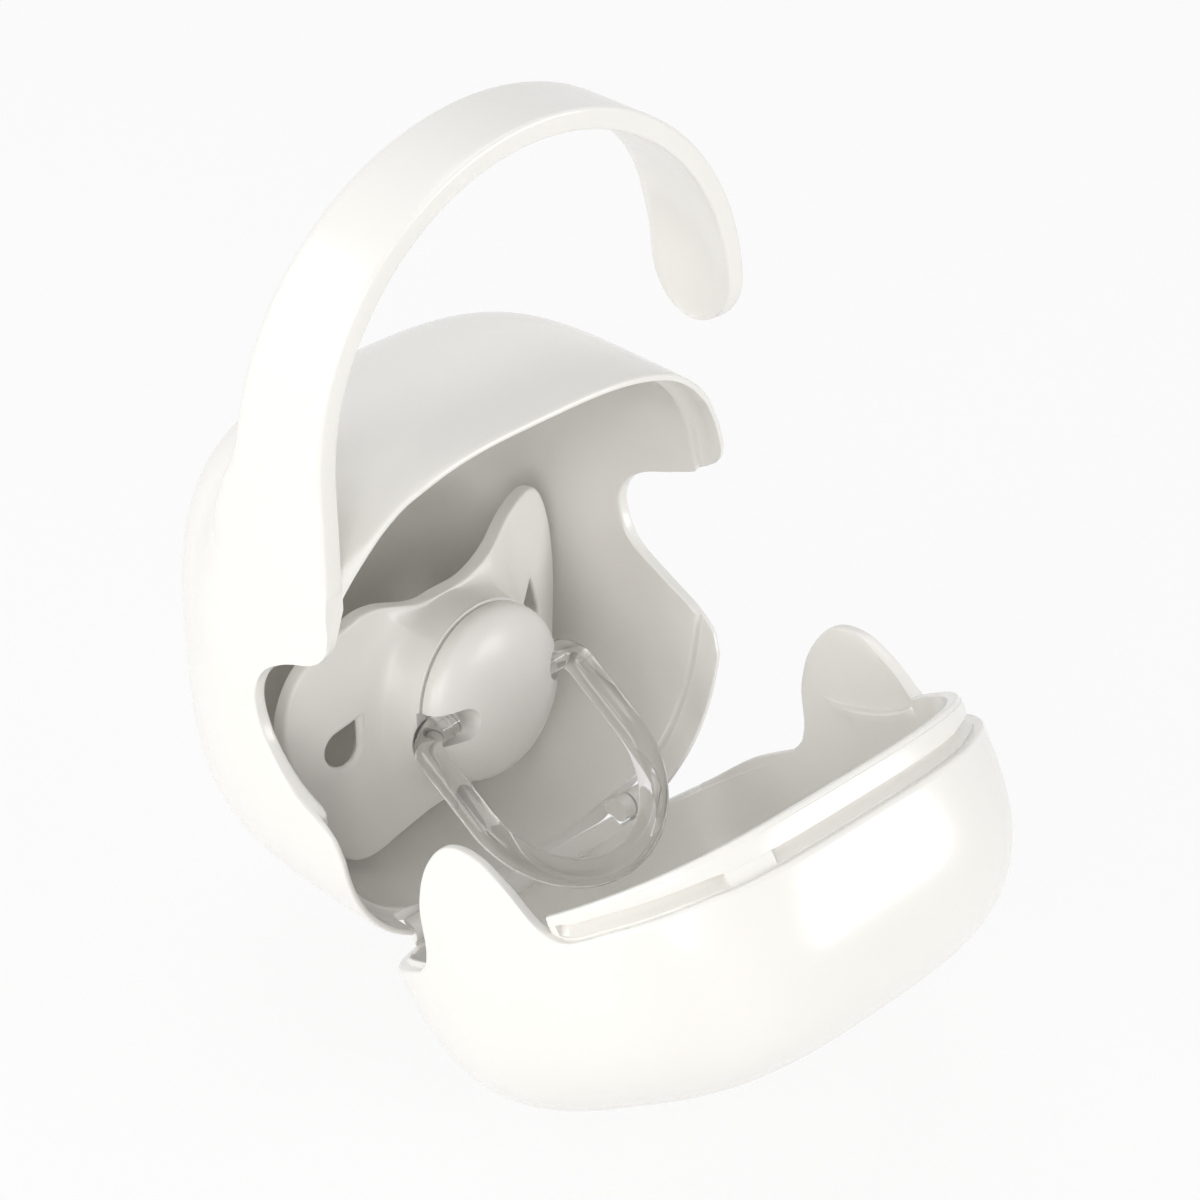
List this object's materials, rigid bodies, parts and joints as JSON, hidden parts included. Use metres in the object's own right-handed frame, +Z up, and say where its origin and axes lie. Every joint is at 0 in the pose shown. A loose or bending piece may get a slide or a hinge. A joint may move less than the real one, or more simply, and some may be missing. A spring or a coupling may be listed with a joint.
{
  "type": "pacifier case",
  "caption": "Rounded two-shell pacifier case with a carrying hook and a hinged front lid, holding a pacifier with a swinging ring.",
  "frame": {"origin": "centre of the flat foot under the rear shell", "axes": "+X across the case, from the side that carries the hook; +Y to the back, away from the lid; +Z up"},
  "size_m": [0.0626, 0.0908, 0.1076],
  "materials": {
    "case_shell": "smooth glossy warm white",
    "pacifier_plastic": "fine satin, warm light grey",
    "clear_plastic": "clear polished plastic",
    "silicone": "soft translucent silicone",
    "pin_steel": "plain drawn steel"
  },
  "bodies": {
    "case": {"rear_shell": "case_shell", "hinge_pin_left": "pin_steel", "hinge_pin_right": "pin_steel", "pacifier_shield": "pacifier_plastic", "pacifier_button": "pacifier_plastic", "pacifier_plug": "pacifier_plastic", "pacifier_teat": "silicone"},
    "lid": {"lid_shell": "case_shell"},
    "ring": {"pacifier_ring": "clear_plastic"}
  },
  "joints": [
    {"name": "lid_hinge", "type": "hinge", "parent": "case", "child": "lid", "pos_m": [0, -0.01031, 0.0019], "axis": [1, 0, 0], "range_deg": [-54, 26]},
    {"name": "ring_swing", "type": "hinge", "parent": "case", "child": "ring", "pos_m": [0.00068, -0.00363, 0.02132], "axis": [0.9962, 0.0872, 0], "range_deg": [-120, 7]}
  ]
}
